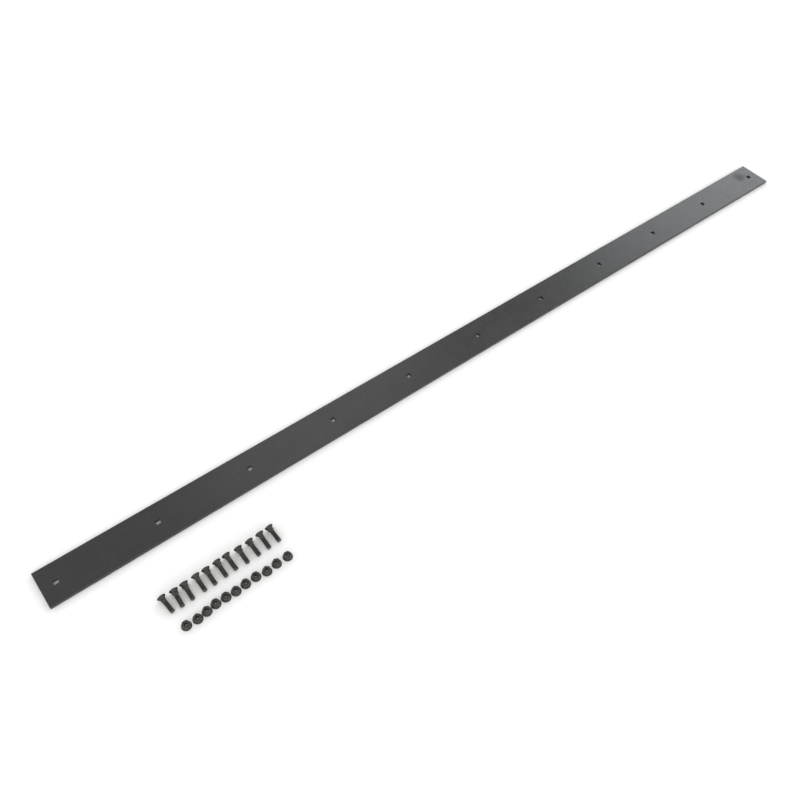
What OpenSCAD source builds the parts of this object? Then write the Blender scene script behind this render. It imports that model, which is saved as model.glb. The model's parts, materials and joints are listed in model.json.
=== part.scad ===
// Replacement wear bar for an ATV snow plow blade, laid out flat as a kit with the plow
// bolts and the flange nuts that fasten it. Millimetres, +Z up.
// The origin is where the middle bolt hole's axis leaves the bar's lower face, so z = 0 is
// the floor. +X runs along the bar, and the bolts and nuts lie on the -Y side of it.

/* [Wear bar] */
// Length of the bar, end to end
bar_len = 1828.8; // [1219.2:0.1:2438.4]
// Width of the bar, from one long edge to the other
bar_w = 71.4; // [50:0.1:102]
// Thickness of the bar
bar_t = 6.35; // [4.7:0.05:12.7]
// Number of square holes, and so of bolts and of nuts, odd so that one is in the middle
hole_n = 11; // [3:2:19]
// Distance from each end of the bar to the nearest hole's axis
end_margin = 25.4; // [16:0.1:60]
// Play between a bolt's square neck and its hole, across the flats
neck_play = 0.6; // [0.2:0.05:1.5]

/* [Plow bolt] */
// Outside diameter of the thread
bolt_d = 7.94; // [6:0.01:10]
// Length of the bolt over its head
bolt_len = 31.75; // [22:0.05:50]
// Chamfer at the tip
tip_chamfer = 0.5; // [0.3:0.05:1.2]
// Diameter of the flat countersunk head
head_d = 15.2; // [13:0.1:20]
// Thickness of the head's straight rim
head_rim = 0.8; // [0.4:0.05:1.5]
// Full angle of the cone under the head, in degrees
head_angle = 80; // [70:1:100]
// How much wider the square neck is across its flats than the thread
neck_over = 0.06; // [0:0.01:0.5]
// Length of square neck that shows below the cone
neck_len = 3.3; // [1:0.05:6]
// Pitch of the thread
thread_pitch = 1.411; // [1:0.001:1.6]

/* [Flange nut] */
// Hexagon, across the flats
nut_af = 12.7; // [10.5:0.1:16]
// Height of the nut
nut_h = 8; // [6.5:0.1:11]
// Diameter of the flange
flange_d = 17; // [15.8:0.1:22]
// Thickness of the flange at its rim
flange_rim = 1.1; // [0.6:0.05:1.6]
// Height at which the flange's cone meets the flats
flange_h = 2.7; // [1.8:0.05:4]
// How far the top corners of the hexagon are turned down
corner_drop = 0.7; // [0.2:0.05:1]
// Countersink at each end of the thread, measured on the radius
mouth_chamfer = 0.75; // [0.3:0.05:1.2]

/* [Layout] */
// Gap between the bar and the heads of the bolts
bolt_row_gap = 86; // [20:0.5:200]
// Distance along the bar from its left end to the first bolt
bolt_row_inset = 143.4; // [20:0.1:400]
// Clear space between neighbouring heads in an even row
bolt_gap = 4.8; // [4:0.1:20]
// How far the bolt row nears the bar from one bolt to the next
bolt_row_drift = 0.55; // [0:0.05:2]
// Distance from the line of the bolts' tips to the first nut's axis
nut_row_gap = 30.75; // [15:0.05:100]
// Distance along the bar from its left end to the first nut
nut_row_inset = 150.9; // [20:0.1:400]
// Clear space between neighbouring flanges in an even row
nut_gap = 1.8; // [1.8:0.1:20]
// How far the nut row nears the bar from one nut to the next
nut_row_drift = 0.6; // [0:0.05:2]

/* [Hidden] */
$fn = 96;
cut = 1; // how far a cutting solid runs past the face it cuts

// The pieces were set down by hand, so each lies a little off its even place in the row.
bolt_stray_x = [0, 1, -1, 0.5, -1, -0.5, -2.5, -0.5, 0.5, 1.5, 0.5];
bolt_stray_y = [0, -1.5, -1.5, -1, -1.5, -1, -0.5, -2, -2, -1.5, -1];
bolt_turn = [6.5, -2, -1, 0.5, 0.5, 1, 2.5, 0.5, 2, 0.5, 2.5]; // degrees off square to the bar
nut_stray_x = [1.5, 2, 0.5, -1, -1.5, -2.5, -2.5, -2, -1.5, -0.5, 2];
nut_stray_y = [0.5, -1, 0.5, 2.5, 2, 0.5, 1.5, 1.5, -1.5, 0, -0.5];
roll_step = 31; // degrees that each bolt has rolled on from the one before it
spin_step = 17; // degrees that each nut has turned on from the one before it

// Bolt, standing on its head with its axis on +Z
bolt_r = bolt_d / 2;
head_r = head_d / 2;
cone_end = head_rim + (head_r - bolt_r) / tan(head_angle / 2);
neck_w = bolt_d + neck_over;
neck_end = cone_end + neck_len;
thread_end = bolt_len - tip_chamfer;

// Bar
hole_w = neck_w + neck_play;
hole_pitch = (bar_len - 2 * end_margin) / (hole_n - 1);

// Nut
bore_r = (bolt_d - 1.0825 * thread_pitch) / 2; // basic minor radius of a 60 degree thread
hex_r = nut_af / 2 / cos(30);
flange_r = flange_d / 2;

// Rows, with the lowest bolt and nut numbers at the bar's left end
bolt_pitch = head_d + bolt_gap;
nut_pitch = flange_d + nut_gap;
bolt_row_y = -bar_w / 2 - bolt_row_gap;
nut_row_y = bolt_row_y - bolt_len - nut_row_gap;

function pick(list, i) = list[i % len(list)];
function hole_x(i) = (i - (hole_n - 1) / 2) * hole_pitch;
function bolt_at(i) = [
    -bar_len / 2 + bolt_row_inset + i * bolt_pitch + pick(bolt_stray_x, i),
    bolt_row_y + i * bolt_row_drift + pick(bolt_stray_y, i)
];
function nut_at(i) = [
    -bar_len / 2 + nut_row_inset + i * nut_pitch + pick(nut_stray_x, i),
    nut_row_y + i * nut_row_drift + pick(nut_stray_y, i)
];

// A bolt lies on the lower edge of its rim and, further on, on the edge of its tip or on a
// corner of its neck, whichever it meets first as it tips down.
function neck_reach(i) = neck_w / 2 * (abs(cos(i * roll_step)) + abs(sin(i * roll_step)));
function lie_angle(i) = min(
    atan((head_r - bolt_r) / (thread_end - head_rim)),
    atan((head_r - neck_reach(i)) / (neck_end - head_rim))
);
function lie_z(i) = head_rim * sin(lie_angle(i)) + head_r * cos(lie_angle(i));

function numbered(stem, i) = str(stem, i < 9 ? "_0" : "_", i + 1);
bolt_names = [for (i = [0:hole_n - 1]) numbered("plow_bolt", i)];
nut_names = [for (i = [0:hole_n - 1]) numbered("flange_nut", i)];

// Flat steel bar with a row of square holes along its middle
module wear_bar() {
    color("#4e4d4e")
    difference() {
        translate([-bar_len / 2, -bar_w / 2, 0])
            cube([bar_len, bar_w, bar_t]);
        for (i = [0:hole_n - 1])
            translate([hole_x(i) - hole_w / 2, -hole_w / 2, -cut])
                cube([hole_w, hole_w, bar_t + 2 * cut]);
    }
}

// Flat countersunk head, square neck and threaded shank, with the head's face at z = 0
module bolt_solid() {
    rotate_extrude()
        polygon([
            [0, 0],
            [head_r, 0],
            [head_r, head_rim],
            [bolt_r, cone_end],
            [bolt_r, thread_end],
            [bolt_r - tip_chamfer, bolt_len],
            [0, bolt_len]
        ]);
    translate([-neck_w / 2, -neck_w / 2, head_rim])
        cube([neck_w, neck_w, neck_end - head_rim]);
}

// One bolt lying on the floor with its head towards the bar
module plow_bolt(i) {
    color("#3d3c38")
    translate([bolt_at(i).x, bolt_at(i).y, lie_z(i)])
        rotate([0, 0, pick(bolt_turn, i)])
            rotate([90 + lie_angle(i), 0, 0])
                rotate([0, 0, i * roll_step])
                    bolt_solid();
}

// Hexagon with its upper corners turned down
module nut_hexagon() {
    intersection() {
        translate([0, 0, flange_rim / 2])
            cylinder(h = nut_h - flange_rim / 2, r = hex_r, $fn = 6);
        rotate_extrude()
            polygon([
                [0, 0],
                [hex_r + cut, 0],
                [hex_r + cut, nut_h - corner_drop - cut * tan(30)],
                [hex_r - corner_drop / tan(30), nut_h],
                [0, nut_h]
            ]);
    }
}

// Round flange that thins from the flats to its rim
module nut_flange() {
    rotate_extrude()
        polygon([[0, 0], [flange_r, 0], [flange_r, flange_rim], [nut_af / 2, flange_h], [0, flange_h]]);
}

// Threaded bore with a countersunk mouth at each end
module nut_bore() {
    mouth_r = bore_r + mouth_chamfer;
    rotate_extrude()
        polygon([
            [0, -cut],
            [mouth_r + cut, -cut],
            [bore_r, mouth_chamfer],
            [bore_r, nut_h - mouth_chamfer],
            [mouth_r + cut, nut_h + cut],
            [0, nut_h + cut]
        ]);
}

// One nut standing on its flange
module flange_nut(i) {
    color("#403f3b")
    translate(nut_at(i))
        rotate(i * spin_step)
            difference() {
                union() {
                    nut_flange();
                    nut_hexagon();
                }
                nut_bore();
            }
}

wear_bar();
for (i = [0:hole_n - 1]) {
    plow_bolt(i);
    flange_nut(i);
}
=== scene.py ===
import json
import math

import bmesh
import bpy
from mathutils import Matrix, Vector


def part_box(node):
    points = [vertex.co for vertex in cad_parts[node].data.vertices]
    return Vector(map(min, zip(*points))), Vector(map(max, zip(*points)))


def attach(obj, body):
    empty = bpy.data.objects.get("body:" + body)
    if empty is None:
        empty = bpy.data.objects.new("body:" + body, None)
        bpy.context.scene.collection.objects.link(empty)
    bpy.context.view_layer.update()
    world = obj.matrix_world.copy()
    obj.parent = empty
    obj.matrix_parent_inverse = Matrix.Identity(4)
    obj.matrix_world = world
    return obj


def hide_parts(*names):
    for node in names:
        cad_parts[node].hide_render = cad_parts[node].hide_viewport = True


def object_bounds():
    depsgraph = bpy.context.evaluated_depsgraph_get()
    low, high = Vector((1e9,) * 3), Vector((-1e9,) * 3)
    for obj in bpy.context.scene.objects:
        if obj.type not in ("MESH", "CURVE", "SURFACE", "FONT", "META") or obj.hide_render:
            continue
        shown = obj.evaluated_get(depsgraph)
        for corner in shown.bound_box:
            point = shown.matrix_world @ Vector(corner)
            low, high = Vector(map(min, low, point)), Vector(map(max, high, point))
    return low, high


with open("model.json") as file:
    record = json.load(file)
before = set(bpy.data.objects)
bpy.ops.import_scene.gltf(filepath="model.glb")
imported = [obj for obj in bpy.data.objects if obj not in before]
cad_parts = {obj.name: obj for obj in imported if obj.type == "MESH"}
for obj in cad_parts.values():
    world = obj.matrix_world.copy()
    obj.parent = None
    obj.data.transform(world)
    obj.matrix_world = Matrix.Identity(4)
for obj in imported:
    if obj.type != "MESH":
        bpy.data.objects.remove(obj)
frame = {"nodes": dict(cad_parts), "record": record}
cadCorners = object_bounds()
mounts = {mount["name"]: mount for mount in frame["record"]["mounts"]}
holeMounts = [mounts[name] for name in sorted(mounts) if name.startswith("bolt_hole")]
fullTurn = 2 * math.pi
mm = 0.001  # the pieces are sized in millimetres and built in metres
sharpAbove = 34  # degrees between two faces from which their edge is shaded sharp
print("frame loaded with", len(frame["nodes"]), "nodes")


class Wire:
    # one socket of a finish, so that shader maths reads as plain sums
    def __init__(self, finish, socket):
        self.finish = finish
        self.socket = socket

    def sum(self, operation, *values):
        return self.finish.node("ShaderNodeMath", {"operation": operation}, dict(enumerate(values)))

    def __add__(self, other):
        return self.sum("ADD", self, other)

    def __sub__(self, other):
        return self.sum("SUBTRACT", self, other)

    def __rsub__(self, other):
        return self.sum("SUBTRACT", other, self)

    def __mul__(self, other):
        return self.sum("MULTIPLY", self, other)

    __radd__ = __add__


class Finish:
    # the procedural nodes of a material or of the world
    def __init__(self, owner):
        self.owner = owner
        owner.use_nodes = True
        self.tree = owner.node_tree
        self.tree.nodes.clear()
        self.place = self.node("ShaderNodeTexCoord", {}, {}, "Object")

    def node(self, kind, settings, sockets, outlet=0):
        made = self.tree.nodes.new(kind)
        for name, value in settings.items():
            setattr(made, name, value)
        for name, value in sockets.items():
            if isinstance(value, Wire):
                self.tree.links.new(value.socket, made.inputs[name])
            else:
                made.inputs[name].default_value = value
        return Wire(self, made.outputs[outlet]) if made.outputs else None

    def grain(self, size, detail, stretch=(1, 1, 1), turn=0.0, distort=0.0):
        # noise from 0 to 1 with features about size metres across, drawn out by stretch along
        # the axes and turned about Z by turn radians
        spot = self.node("ShaderNodeMapping", {"vector_type": "TEXTURE"},
                         {"Vector": self.place, "Rotation": (0, 0, turn),
                          "Scale": [size * share for share in stretch]})
        return self.node("ShaderNodeTexNoise", {"normalize": True},
                         {"Vector": spot, "Scale": 1.0, "Detail": detail, "Roughness": 0.55,
                          "Distortion": distort}, 0)

    def step(self, value, low, high):
        # 0 before low, 1 past high and a smooth change between them, whichever is the larger
        return self.node("ShaderNodeMapRange", {"interpolation_type": "SMOOTHSTEP"},
                         {"Value": value, "From Min": low, "From Max": high})

    def tint(self, share, first, second):
        # the first colour where share is 0 and the second where it is 1
        return self.node("ShaderNodeMix", {"data_type": "RGBA"}, {0: share, 6: first, 7: second}, 2)

    def relief(self, height, strength, depth):
        return self.node("ShaderNodeBump", {},
                         {"Height": height, "Strength": strength, "Distance": depth})

    def wear(self):
        # how worn the edge is here, as the mesh says
        return self.node("ShaderNodeAttribute", {"attribute_name": "worn"}, {}, "Fac")

    def surface(self, **sockets):
        named = {name.replace("_", " "): value for name, value in sockets.items()}
        shader = self.node("ShaderNodeBsdfPrincipled", {}, named)
        self.node("ShaderNodeOutputMaterial", {}, {"Surface": shader})
        return self.owner


def grey(level, warm=0.0):
    # a near-neutral colour; warm above 0 leans to olive and below 0 to blue
    return (level * (1 + warm * 0.5), level * (1 + warm * 0.3), level * (1 - warm), 1.0)


coatLook = {
    "colour": grey(0.027, -0.01),
    "paleColour": grey(0.036, 0.01),
    "dustColour": grey(0.1, 0.02),
    "steelColour": grey(0.16, 0.02),
    "stainColour": grey(0.008, 0.0),
    "roughness": 0.28,
    "ior": 1.43,
    "bump": 0.12,            # depth of the coat's texture
    "stain": (-20.0, 14.0),  # middle of the stain from the last hole, along and across the bar
    "stainWide": 32.0,
}


def barCoat():
    # satin charcoal coat over rolled flat bar
    coat = Finish(bpy.data.materials.new("bar_coat"))
    cloud = coat.grain(0.11, 4.0, (2.2, 0.6, 0.6))
    streak = coat.grain(0.003, 3.0, (60, 1, 1))
    speck = coat.grain(0.0011, 2.0)
    peel = coat.grain(0.0022, 3.0)
    pits = coat.grain(0.006, 5.0)
    mottle = coat.grain(0.016, 4.0, (1.5, 1, 1))
    scuffs = coat.step(coat.grain(0.0016, 2.0, (26, 1, 1), 0.5, 0.4), 0.7, 0.78)
    scuffs = scuffs * coat.step(coat.grain(0.07, 2.0), 0.52, 0.66)
    handling = coat.step(coat.grain(0.0014, 1.0, (40, 1, 1), -0.9, 0.3), 0.73, 0.8)
    handling = handling * coat.step(coat.grain(0.09, 2.0), 0.55, 0.7)

    tone = coat.step(cloud * 0.5 + streak * 0.3 + speck * 0.35, 0.38, 0.78)
    colour = coat.tint(tone, coatLook["colour"], coatLook["paleColour"])
    dust = coat.step(coat.grain(0.018, 6.0), 0.6, 0.85) * 0.16 + scuffs * 0.35 + handling * 0.3
    colour = coat.tint(dust, colour, coatLook["dustColour"])

    along, across = coatLook["stain"]
    middle = Vector(holeMounts[-1]["pos_m"]) + Vector((along, across, 0)) * mm
    flat = coat.node("ShaderNodeVectorMath", {"operation": "MULTIPLY"},
                     {0: coat.place, 1: (1, 1, 0)})
    away = coat.node("ShaderNodeVectorMath", {"operation": "DISTANCE"},
                     {0: flat, 1: (middle.x, middle.y, 0)}, "Value")
    ragged = coat.grain(0.009, 4.0) * 0.9 + 0.55
    reach = coatLook["stainWide"] * mm / 2
    stain = coat.step(away * ragged, reach * 1.25, reach * 0.35)
    colour = coat.tint(stain, colour, coatLook["stainColour"])

    chipped = coat.step(coat.wear() * 0.62 + coat.grain(0.004, 4.0) * 0.6, 0.8, 0.98)
    colour = coat.tint(chipped * 0.6, colour, coatLook["steelColour"])
    rough = coatLook["roughness"] + (mottle - 0.5) * 0.2 + (speck - 0.5) * 0.1
    rough = rough + dust * 0.3 + stain * 0.14
    bumps = peel * 0.5 + speck * 0.25 + pits * 0.5 + streak * 0.25 - scuffs * 0.2
    return coat.surface(Base_Color=colour, Roughness=rough, Metallic=chipped * 0.5,
                        IOR=coatLook["ior"],
                        Normal=coat.relief(bumps, 0.3, coatLook["bump"] * mm))


fastenerLook = {
    "bolt": {
        "colour": grey(0.021, 0.10),
        "paleColour": grey(0.048, 0.14),
        "steelColour": grey(0.17, 0.04),
        "roughness": 0.46,
        "metallic": 0.4,
        "bump": 0.06,  # depth of the skin's texture
    },
    "nut": {
        "colour": grey(0.019, 0.08),
        "paleColour": grey(0.046, 0.10),
        "steelColour": grey(0.17, 0.04),
        "roughness": 0.46,
        "metallic": 0.4,
        "bump": 0.06,
    },
}


def phosphate(name, look):
    # dark phosphate and oil over steel, rubbed through on the edges and thread crests
    skin = Finish(bpy.data.materials.new(name))
    mottle = skin.grain(0.0024, 4.0)
    crystals = skin.grain(0.00035, 2.0)
    oil = skin.step(skin.grain(0.007, 3.0), 0.42, 0.66)
    tone = skin.step(mottle * 0.7 + crystals * 0.4, 0.38, 0.74)
    colour = skin.tint(tone, look["colour"], look["paleColour"])
    rubbed = skin.step(skin.wear() * 0.75 + mottle * 0.35 + crystals * 0.15, 0.72, 1.02)
    colour = skin.tint(rubbed * 0.7, colour, look["steelColour"])
    rough = look["roughness"] - oil * 0.12 + crystals * 0.08 - rubbed * 0.1
    bumps = crystals * 0.5 + mottle * 0.6
    return skin.surface(Base_Color=colour, Roughness=rough,
                        Metallic=rubbed * 0.45 + look["metallic"],
                        Normal=skin.relief(bumps, 0.35, look["bump"] * mm))


def paleFloor():
    floor = Finish(bpy.data.materials.new("studio_floor"))
    return floor.surface(Base_Color=(0.9, 0.9, 0.895, 1), Roughness=0.75)


ringSteps = 3  # faces in each rounded edge of a bolt or a nut


def roundedEdge(first, corner, second, steps, fullness=1.0):
    # points from first to second that round the corner between them
    points = []
    for index in range(steps + 1):
        t = index / steps
        weights = ((1 - t) ** 2, 2 * t * (1 - t) * fullness, t ** 2)
        total = sum(weights)
        points.append(tuple(sum(weight * value for weight, value in zip(weights, values)) / total
                            for values in zip(first, corner, second)))
    return points


class Shell:
    # a closed mesh built up from rings of vertices, each marked with how worn its edge is
    def __init__(self, angles=()):
        self.mesh = bmesh.new()
        self.wornLayer = self.mesh.verts.layers.float.new("worn")
        self.angles = angles

    def point(self, x, y, z, worn=0.0):
        vert = self.mesh.verts.new((x, y, z))
        vert[self.wornLayer] = worn
        return vert

    def ring(self, radius, height, worn=0.0):
        # one ring about the Z axis; radius and height are numbers or lists with a value per column
        count = len(self.angles)
        radii = radius if isinstance(radius, list) else [radius] * count
        heights = height if isinstance(height, list) else [height] * count
        return [self.point(r * math.cos(angle), r * math.sin(angle), z, worn)
                for angle, r, z in zip(self.angles, radii, heights)]

    def rounded(self, first, corner, second):
        # rings that round a corner; each spot is a radius, a height and how worn it is
        return [self.ring(*spot) for spot in roundedEdge(first, corner, second, ringSteps)]

    def roundedEach(self, corners, worn=0.0):
        # rings that round a corner which each column has at its own radius and height
        columns = [roundedEdge(*spots, ringSteps) for spots in corners]
        return [self.ring([r for r, z in level], [z for r, z in level], worn)
                for level in zip(*columns)]

    def face(self, *corners):
        self.mesh.faces.new(corners)

    def skin(self, *rings):
        for lower, upper in zip(rings, rings[1:]):
            for here in range(len(lower)):
                after = (here + 1) % len(lower)
                self.face(lower[here], lower[after], upper[after], upper[here])

    def thread(self, below, above, start, end, pitch, form, radiusAt, outRun):
        # a right-hand thread between two plain rings. form lists one turn's points, from a crest
        # on: the share of the pitch, the depth of the cut and the wear there. The cut grows over
        # the first outRun of the first turn and runs out over the last outRun of the last one.
        perTurn = len(form)
        turns = int((end - start) / pitch) - 1
        start = end - (turns + 1) * pitch  # whole turns only, up against the end
        last = perTurn * turns
        rows = []
        for index in range(last + 1):
            turn, part = divmod(index, perTurn)
            share, level, worn = form[part]
            row = []
            for angle in self.angles:
                around = angle / fullTurn
                cut = level
                if turn == 0:
                    cut *= min(1, around / outRun)
                if index > last - perTurn:
                    cut *= min(1, (1 - around) / outRun)
                z = start + pitch * (turn + share + around)
                r = radiusAt(cut, z)
                row.append(self.point(r * math.cos(angle), r * math.sin(angle), z, worn))
            rows.append(row)
        final = len(self.angles) - 1
        for column in range(final):
            self.face(below[column], below[column + 1], rows[0][column + 1], rows[0][column])
            self.face(rows[last][column], rows[last][column + 1], above[column + 1], above[column])
            for lower, upper in zip(rows, rows[1:]):
                self.face(lower[column], lower[column + 1], upper[column + 1], upper[column])
        for index in range(last - perTurn):
            self.face(rows[index][final], rows[index + perTurn][0],
                      rows[index + perTurn + 1][0], rows[index + 1][final])
        climb = [rows[index][0] for index in range(perTurn + 1)]
        self.face(below[final], below[0], *climb, rows[0][final])
        descent = [rows[index][final] for index in range(last, last - perTurn, -1)]
        self.face(rows[last - perTurn][final], rows[last][0], above[0], above[final], *descent)

    def piece(self, name, place, material):
        # the finished object, with its mesh standing at place and the object itself at the origin
        bmesh.ops.scale(self.mesh, vec=(mm, mm, mm), verts=self.mesh.verts)
        bmesh.ops.transform(self.mesh, matrix=place, verts=self.mesh.verts)
        bmesh.ops.recalc_face_normals(self.mesh, faces=self.mesh.faces)
        for face in self.mesh.faces:
            face.smooth = True
        data = bpy.data.meshes.new(name)
        self.mesh.to_mesh(data)
        self.mesh.free()
        data.set_sharp_from_angle(angle=math.radians(sharpAbove))
        data.materials.append(material)
        made = bpy.data.objects.new(name, data)
        bpy.context.scene.collection.objects.link(made)
        return made


barShape = {
    "edgeRoll": 0.7,      # radius of the rolled long edges and the dressed ends
    "edgeSteps": 4,       # faces across each of those
    "edgeFullness": 0.8,  # 1 for a full round edge, less for a flatter one
    "cornerRound": 0.9,   # radius of the bar's corners seen from above
    "cornerLeast": 0.25,  # and the least that the rolled edge leaves of it
    "holeRoll": 0.35,     # radius rolled over by the punch at the rim of each hole
    "holeCorner": 0.7,    # radius in the corners of each square hole
    "holeWide": 8.6,      # across the flats
    "holdWide": 0.5,      # flat band that keeps the big faces true beside a rounded edge
    "arcSteps": 5,        # faces round each corner of the bar and of its holes
}


def squareOutline(halfLong, halfWide, corner, steps, sidePoints=()):
    # a rectangle with rounded corners, counterclockwise from the middle of its +X side. It has
    # points at both ends of the X axis and where sidePoints cross its long sides.
    outline = [(halfLong, 0.0)]
    for turn, (cx, cy) in enumerate(((halfLong, halfWide), (-halfLong, halfWide),
                                     (-halfLong, -halfWide), (halfLong, -halfWide))):
        middle = (cx - math.copysign(corner, cx), cy - math.copysign(corner, cy))
        for index in range(steps + 1):
            angle = math.pi / 2 * (turn + index / steps)
            outline.append((middle[0] + corner * math.cos(angle),
                            middle[1] + corner * math.sin(angle)))
        if turn == 0:
            outline += [(x, halfWide) for x in sorted(sidePoints, reverse=True)]
        if turn == 1:
            outline.append((-halfLong, 0.0))
        if turn == 2:
            outline += [(x, -halfWide) for x in sorted(sidePoints)]
    return outline


def makeBar(material):
    low, high = (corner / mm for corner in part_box("wear_bar"))
    halfLong, halfWide, thick = (high.x - low.x) / 2, (high.y - low.y) / 2, high.z - low.z
    holes = sorted(Vector(mount["pos_m"]).x / mm for mount in holeMounts)
    borders = [(a + b) / 2 for a, b in zip(holes, holes[1:])]
    steps, hold = barShape["arcSteps"], barShape["holdWide"]
    shell = Shell()

    def loop(middle, halfX, halfY, corner, z, worn, sidePoints=()):
        return [shell.point(middle + x, y, z, worn)
                for x, y in squareOutline(halfX, halfY, corner, steps, sidePoints)]

    def section(radius, band):
        # distance in from the wall, height over the lower face and wear, from below to above
        lower = roundedEdge((radius, 0.0, 0.5), (0.0, 0.0, 1.4), (0.0, radius, 0.5),
                            barShape["edgeSteps"], barShape["edgeFullness"])
        upper = [(inset, thick - z, worn) for inset, z, worn in reversed(lower)]
        return [(radius + band, 0.0, 0.0)] + lower + upper + [(radius + band, thick, 0.0)]

    outer = []
    for inset, z, worn in section(barShape["edgeRoll"], hold):
        corner = max(barShape["cornerRound"] - inset, barShape["cornerLeast"])
        outer.append(loop(0, halfLong - inset, halfWide - inset, corner, z, worn, borders))
    shell.skin(*outer)
    rims = []
    for hole in holes:
        half = barShape["holeWide"] / 2
        rings = [loop(hole, half + inset, half + inset, barShape["holeCorner"] + inset, z, worn)
                 for inset, z, worn in section(barShape["holeRoll"], hold)]
        shell.skin(*rings)
        rims.append(rings)

    for level in (0, -1):  # the lower face, then the upper one
        outline = outer[level]
        z = outline[0].co.z
        middles = [shell.point(x, 0, z) for x in borders]
        quarter = steps + 1
        sides = len(borders)
        upperHalf = outline[:2 * quarter + sides + 2]
        lowerHalf = [outline[0]] + outline[:2 * quarter + sides:-1]
        for half, sign in ((upperHalf, 1), (lowerHalf, -1)):
            cuts = [0] + [1 + quarter + index for index in range(sides)] + [len(half) - 1]
            for cell, (start, stop) in enumerate(zip(cuts, cuts[1:])):
                ring = rims[len(holes) - 1 - cell][level]
                left = len(ring) // 2
                arc = ring[left::-1] if sign > 0 else ring[left:] + ring[:1]
                right = [] if cell == 0 else [middles[sides - cell]]
                leftEnd = [] if cell == sides else [middles[sides - 1 - cell]]
                shell.face(*half[start:stop + 1], *leftEnd, *arc, *right)
    return shell.piece("wear_bar_coated", Matrix(), material)


boltShape = {
    "length": 31.75,
    "headWide": 15.2,
    "headRim": 0.8,       # straight part of the head's rim
    "rimRoll": 0.22,      # radius of the rim's two edges
    "coneAngle": 80,
    "neckWide": 8.0,      # square neck, across the flats
    "neckCorner": 0.7,
    "neckLong": 3.3,      # length of neck below the cone
    "neckTuck": 0.49,     # length over which the neck's lower corners turn in
    "blend": 0.5,         # fillet where the cone meets the neck
    "pitch": 1.411,
    "shankFrom": 0.3,     # distance from the neck at which the shank is round
    "threadFrom": 0.35,   # least distance from the neck to the thread
    "threadTo": 0.18,     # distance from the thread to the end of the bolt
    "runIn": 1.2,         # pitches from the neck that stay uncut
    "growIn": 1.8,        # pitches after them in which the cut reaches its depth
    "outRun": 0.45,       # share of a turn in which the cut starts and ends
    "tipChamfer": 0.5,
    "tipEase": 0.05,      # how much sooner the chamfer starts, so that it meets the end ring
    "tipRoll": (0.1, 0.12),  # how far the edge of the end face is rolled, along and across
    "rollStep": 31,       # degrees that each bolt has rolled on from the one before it
}
# the rings that turn the neck's lower corners in, each with its distance back from the neck's
# end, how far the square is drawn in, the furthest a corner stands out from the shank, how far
# out the corners begin, how far out the flats stand, and the wear
neckRings = [(0.21, 0.035, 1.0, 0.0, 0.0, 0.7), (0.1, 0.175, 0.75, 0.5, 0.02, 0.5),
             (0.0, 0.0, 0.35, 0.4, 0.01, 0.0)]
outsideDepth, insideDepth = 0.6134, 0.5413  # of 60 degree threads, as shares of the pitch
# one turn of each thread: share of the pitch, depth of the cut, wear
boltThread = [(0.0, 0.0, 1.0), (0.045, 0.1, 0.3), (0.325, 0.93, 0.0), (0.445, 1.0, 0.0),
              (0.565, 0.93, 0.0), (0.845, 0.1, 0.3), (0.89, 0.0, 1.0)]
nutThread = [(0.0, 0.0, 0.9), (0.10, 0.06, 0.3), (0.40, 0.93, 0.0), (0.5, 1.0, 0.0),
             (0.60, 0.93, 0.0), (0.90, 0.06, 0.3)]


def squareRadius(angle, half, corner):
    # distance from the axis to a square with rounded corners
    off = (angle + math.pi / 4) % (math.pi / 2) - math.pi / 4
    along = half * math.tan(abs(off))
    if along <= half - corner:
        return half / math.cos(off)
    middle = math.hypot(half - corner, half - corner)
    tilt = math.pi / 4 - abs(off)
    return middle * math.cos(tilt) + math.sqrt(corner ** 2 - (middle * math.sin(tilt)) ** 2)


def boltColumns():
    # columns that fall on the neck's corners and spread evenly over its flats
    half, corner = boltShape["neckWide"] / 2, boltShape["neckCorner"]
    tangent = math.atan2(half - corner, half)
    flat = [tangent * index / 5 for index in range(-4, 6)]
    bend = [tangent + (math.pi / 2 - 2 * tangent) * index / 4 for index in range(1, 4)]
    quarter = flat + bend + [math.pi / 2 - tangent]
    return sorted((angle + math.pi / 2 * turn) % fullTurn
                  for turn in range(4) for angle in quarter)


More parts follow.
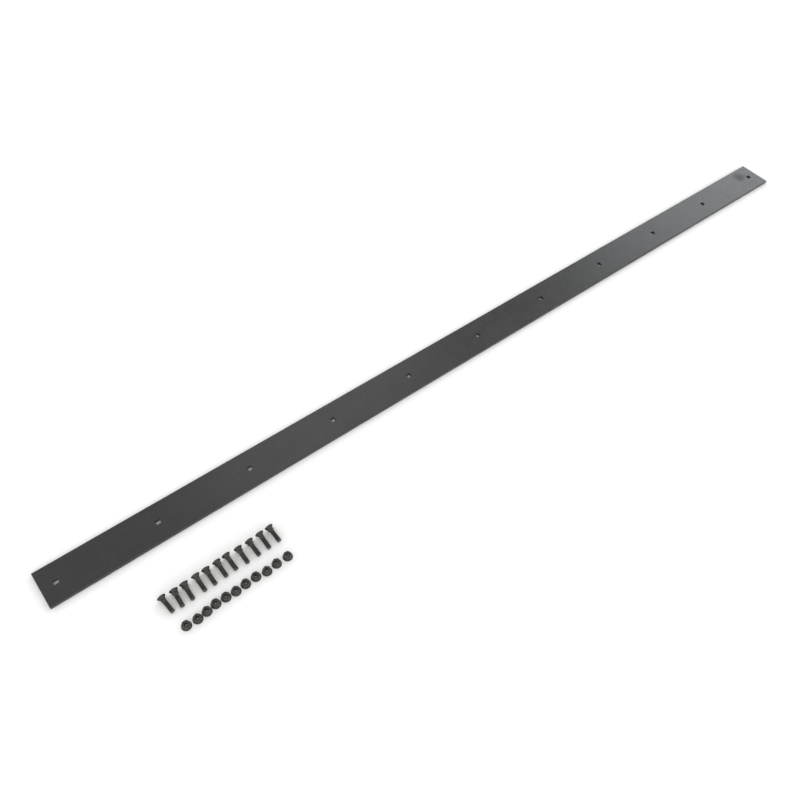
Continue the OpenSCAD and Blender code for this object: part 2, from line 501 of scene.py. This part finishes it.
def makeBolt(number, material):
    shape = boltShape
    pitch, blend = shape["pitch"], shape["blend"]
    mount = mounts[f"bolt_shank_{number:02d}"]
    shankR = mount["dims"]["r_mm"]
    headR, rim, ease = shape["headWide"] / 2, shape["headRim"], shape["rimRoll"]
    slope = math.tan(math.radians(shape["coneAngle"] / 2))
    coneEnd = rim + (headR - shankR) / slope
    neckEnd = coneEnd + shape["neckLong"]
    tipStart = shape["length"] - shape["tipChamfer"]
    rootR = shankR - outsideDepth * pitch

    shell = Shell(boltColumns())
    square = [squareRadius(angle, shape["neckWide"] / 2, shape["neckCorner"])
              for angle in shell.angles]
    meet = [rim + (headR - r) / slope for r in square]

    rings = [shell.ring(headR - 5 * ease, 0), shell.ring(headR - 2 * ease, 0)]
    rings += shell.rounded((headR - ease, 0, 0.4), (headR, 0, 1.3), (headR, ease, 0.5))
    rings += shell.rounded((headR, rim - ease, 0.5), (headR, rim, 1.3),
                           (headR - ease * slope, rim + ease, 0.4))
    hold = 1.0  # a ring this far in from the rim keeps the cone true
    rings.append(shell.ring(headR - hold, rim + hold / slope))
    drop = blend * 0.77  # how far down the cone the fillet begins
    rings += shell.roundedEach([((r + drop * slope, z - drop), (r, z), (r, z + blend))
                                for r, z in zip(square, meet)])
    rings.append(shell.ring(square, neckEnd - shape["neckTuck"], 0.4))
    for back, inset, most, corner, flush, worn in neckRings:
        radii = [min(r - inset, shankR + most) if r > shankR + corner else shankR + flush
                 for r in square]
        rings.append(shell.ring(radii, neckEnd - back, worn))
    rings.append(shell.ring(shankR, neckEnd + shape["shankFrom"]))
    shell.skin(*rings)
    shell.face(*rings[0])

    def threadRadius(cut, z):
        grown = (z - neckEnd - shape["runIn"] * pitch) / (shape["growIn"] * pitch)
        chamfer = shankR - max(0, z - tipStart + shape["tipEase"])
        return min(shankR - (shankR - rootR) * cut * min(1, max(0, grown)), chamfer)

    endR = shankR - shape["tipChamfer"]
    rollLong, rollWide = shape["tipRoll"]
    tip = [shell.ring(endR + shape["tipEase"], shape["length"] - rollLong, 0.8),
           shell.ring(endR - rollWide, shape["length"], 0.6)]
    shell.thread(rings[-1], tip[0], neckEnd + shape["threadFrom"],
                 shape["length"] - shape["threadTo"], pitch, boltThread, threadRadius,
                 shape["outRun"])
    shell.skin(*tip)
    shell.face(*tip[-1])

    toTip = Vector(mount["axis"])
    across = Vector((0, 0, 1)).cross(toTip).normalized()
    basis = Matrix((across, toTip.cross(across), toTip)).transposed()
    roll = Matrix.Rotation(math.radians(shape["rollStep"] * (number - 1)), 3, "Z")
    middle = (neckEnd + tipStart) / 2 * mm
    place = Matrix.Translation(Vector(mount["pos_m"]) - toTip * middle) @ (basis @ roll).to_4x4()
    return shell.piece(f"plow_bolt_{number:02d}_finished", place, material)


nutShape = {
    "flats": 12.7,
    "flangeRim": 1.1,
    "flangeHigh": 2.7,    # where the flange's cone meets the flats
    "cornerDrop": 0.7,
    "mouth": 0.75,        # countersink at each end of the thread
    "hexCorner": 0.55,    # radius of the hexagon's upright corners
    "rimRoll": 0.3,
    "topEase": 0.16,      # how far each side of the edge over the flats is eased
    "faceEase": 0.06,     # and of the edge round the flat top
    "mouthEase": 0.1,     # and of the edges of the mouths
    "blend": 0.45,        # fillet where the flange meets the hexagon
    "pitch": 1.411,
    "threadFrom": 0.05,   # least plain bore between a mouth and the thread
    "outRun": 0.3,        # share of a turn in which the cut starts and ends
    "spinStep": 17,       # degrees that each nut has turned on from the one before it
}


def hexRadius(angle, apothem, corner):
    # distance from the axis to a hexagon with a corner on the X axis and rounded corners
    off = (angle + math.pi / 6) % (math.pi / 3) - math.pi / 6
    middle = (apothem - corner) / math.cos(math.pi / 6)
    tangent = math.atan2(corner * 0.5, middle + corner * math.cos(math.pi / 6))
    if abs(off) >= tangent:
        return apothem / math.cos(math.pi / 6 - abs(off))
    return middle * math.cos(off) + math.sqrt(corner ** 2 - (middle * math.sin(off)) ** 2)


def nutColumns():
    # columns that fall on the hexagon's corners and spread evenly over its flats
    apothem, corner = nutShape["flats"] / 2, nutShape["hexCorner"]
    middle = (apothem - corner) / math.cos(math.pi / 6)
    tangent = math.atan2(corner * 0.5, middle + corner * math.cos(math.pi / 6))
    bend = [tangent * index / 2 for index in range(-2, 3)]
    flat = [tangent + (math.pi / 3 - 2 * tangent) * index / 7 for index in range(1, 7)]
    return sorted((angle + math.pi / 3 * turn) % fullTurn
                  for turn in range(6) for angle in bend + flat)


def makeNut(number, material):
    shape = nutShape
    mount = mounts[f"nut_thread_{number:02d}"]
    low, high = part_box(f"flange_nut_{number:02d}")
    tall, flangeR = (high.z - low.z) / mm, (high.y - low.y) / mm / 2
    boreR = mount["dims"]["r_mm"]
    rim, roll, blend = shape["flangeRim"], shape["rimRoll"], shape["blend"]
    ease, brim, lip = shape["topEase"], shape["faceEase"], shape["mouthEase"]
    apothem = shape["flats"] / 2
    hexR = apothem / math.cos(math.pi / 6)
    fall = math.tan(math.pi / 6)
    topR = hexR - shape["cornerDrop"] / fall
    rise = (shape["flangeHigh"] - rim) / (flangeR - apothem)
    mouthR = boreR + shape["mouth"]

    shell = Shell(nutColumns())
    hexagon = [hexRadius(angle, apothem, shape["hexCorner"]) for angle in shell.angles]
    foot = [rim + (flangeR - r) * rise for r in hexagon]
    shoulder = [tall - (r - topR) * fall for r in hexagon]

    rings = [shell.ring(flangeR - 5 * roll, 0), shell.ring(flangeR - 2 * roll, 0)]
    rings += shell.rounded((flangeR - roll, 0, 0.3), (flangeR, 0, 1.3), (flangeR, roll, 0.4))
    rings += shell.rounded((flangeR, rim - roll, 0.4), (flangeR, rim, 1.3),
                           (flangeR - roll, rim + roll * rise, 0.4))
    rings += shell.roundedEach([((r + blend, z - blend * rise), (r, z), (r, z + blend))
                                for r, z in zip(hexagon, foot)])
    rings += shell.roundedEach([((r, z - ease), (r, z), (r - ease, z + ease * fall))
                                for r, z in zip(hexagon, shoulder)], 0.9)
    # the flat top, from its outer edge over two rings that keep it flat to the mouth's edge
    rings += shell.rounded((topR + brim, tall - brim * fall, 0.6), (topR, tall, 1.0),
                           (topR - 0.2, tall, 0.3))
    rings += [shell.ring(topR - 0.5, tall), shell.ring(mouthR + 0.45, tall)]
    rings += shell.rounded((mouthR + 1.5 * lip, tall, 0.5), (mouthR, tall, 1.0),
                           (mouthR - lip, tall - lip, 0.5))
    rings.append(shell.ring(boreR, tall - shape["mouth"]))
    shell.skin(*rings)
    under = [shell.ring(boreR, shape["mouth"]), shell.ring(mouthR - lip, lip, 0.4),
             shell.ring(mouthR + lip, 0, 0.4), shell.ring(mouthR + 6 * lip, 0)]
    shell.skin(*under, rings[0])

    def threadRadius(cut, z):
        return boreR + insideDepth * shape["pitch"] * cut

    margin = shape["mouth"] + shape["threadFrom"]
    shell.thread(under[0], rings[-1], margin, tall - margin, shape["pitch"], nutThread,
                 threadRadius, shape["outRun"])

    middle = Vector(mount["pos_m"])
    spin = Matrix.Rotation(math.radians(shape["spinStep"] * (number - 1)), 4, "Z")
    place = Matrix.Translation((middle.x, middle.y, low.z)) @ spin
    return shell.piece(f"flange_nut_{number:02d}_finished", place, material)


def standFor(made, body, node):
    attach(made, body)
    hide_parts(node)


standFor(makeBar(barCoat()), "bar", "wear_bar")
print("wear bar made")

boltFinish = phosphate("bolt_finish", fastenerLook["bolt"])
nutFinish = phosphate("nut_finish", fastenerLook["nut"])
pairs = len(holeMounts)
for number in range(1, pairs + 1):
    standFor(makeBolt(number, boltFinish), f"bolt_{number:02d}", f"plow_bolt_{number:02d}")
    standFor(makeNut(number, nutFinish), f"nut_{number:02d}", f"flange_nut_{number:02d}")
print(pairs, "bolts and", pairs, "nuts made")


studio = {
    "floorWide": 40.0,
    # the soft dome's brightness at the horizon, half way up and overhead, and the heights, as the
    # sine of the elevation, between which it rises and falls
    "lowLight": 1.0,
    "midLight": 3.0,
    "highLight": 0.5,
    "rise": (0.1, 0.42),
    "fall": (0.34, 0.67),
    # each light's place, the point it faces, its two sides in metres, power in watts and colour
    "lights": {
        "key": ((-2.6, -2.8, 2.9), (-0.5, -0.1, 0.0), (0.8, 0.8), 20.0, (1.0, 0.99, 0.97)),
        "farSheen": ((3.0, 1.12, 1.68), (0.66, 0.0, 0.0), (1.1, 1.3), 10.0, (0.86, 0.95, 1.0)),
        "leftSheen": ((0.6, 1.45, 2.45), (-0.35, 0.0, 0.0), (1.3, 0.9), 4.5, (1.0, 1.0, 1.0)),
        "boltStreak": ((-0.62, 0.12, 2.6), (-0.66, -0.14, 0.0), (0.6, 0.6), 4.0, (1.0, 1.0, 0.98)),
    },
}
cameraSetup = {
    "place": (-0.85267, -0.73349, 1.22831),
    "heading": 41.86,  # degrees from +Y towards +X
    "dip": 52.57,      # degrees below the horizon
    "roll": 4.63,
    "lens": 36.86,     # millimetres on a 36 mm sensor
}


def makeStudio():
    half = studio["floorWide"] / 2
    data = bpy.data.meshes.new("floor")
    corners = [(-half, -half, 0), (half, -half, 0), (half, half, 0), (-half, half, 0)]
    data.from_pydata(corners, [], [(0, 1, 2, 3)])
    data.materials.append(paleFloor())
    floor = bpy.data.objects.new("floor", data)
    floor.location.z = cadCorners[0].z
    bpy.context.scene.collection.objects.link(floor)

    dome = Finish(bpy.data.worlds.new("studio"))
    upward = dome.node("ShaderNodeSeparateXYZ", {}, {"Vector": dome.place}, "Z")
    rise = dome.step(upward, *studio["rise"]) * (studio["midLight"] - studio["lowLight"])
    fall = dome.step(upward, *studio["fall"]) * (studio["midLight"] - studio["highLight"])
    light = dome.node("ShaderNodeBackground", {},
                      {"Color": (1, 1, 1, 1), "Strength": studio["lowLight"] + rise - fall})
    dome.node("ShaderNodeOutputWorld", {}, {"Surface": light})
    bpy.context.scene.world = dome.owner

    for name, (place, target, sides, power, colour) in studio["lights"].items():
        data = bpy.data.lights.new(name, "AREA")
        data.shape = "RECTANGLE"
        data.size, data.size_y = sides
        data.energy = power
        data.color = colour
        light = bpy.data.objects.new(name, data)
        light.location = place
        light.rotation_euler = (Vector(place) - Vector(target)).to_track_quat("Z", "Y").to_euler()
        bpy.context.scene.collection.objects.link(light)


def makeCamera():
    data = bpy.data.cameras.new("camera")
    data.sensor_width = 36.0
    data.lens = cameraSetup["lens"]
    data.clip_start, data.clip_end = 0.05, 100.0
    camera = bpy.data.objects.new("camera", data)
    aim = (Matrix.Rotation(-math.radians(cameraSetup["heading"]), 4, "Z")
           @ Matrix.Rotation(math.radians(90 - cameraSetup["dip"]), 4, "X")
           @ Matrix.Rotation(math.radians(cameraSetup["roll"]), 4, "Z"))
    camera.matrix_world = Matrix.Translation(cameraSetup["place"]) @ aim
    bpy.context.scene.collection.objects.link(camera)
    bpy.context.scene.camera = camera


makeStudio()
makeCamera()
bpy.context.scene.view_settings.view_transform = "Standard"
print("studio and camera made")
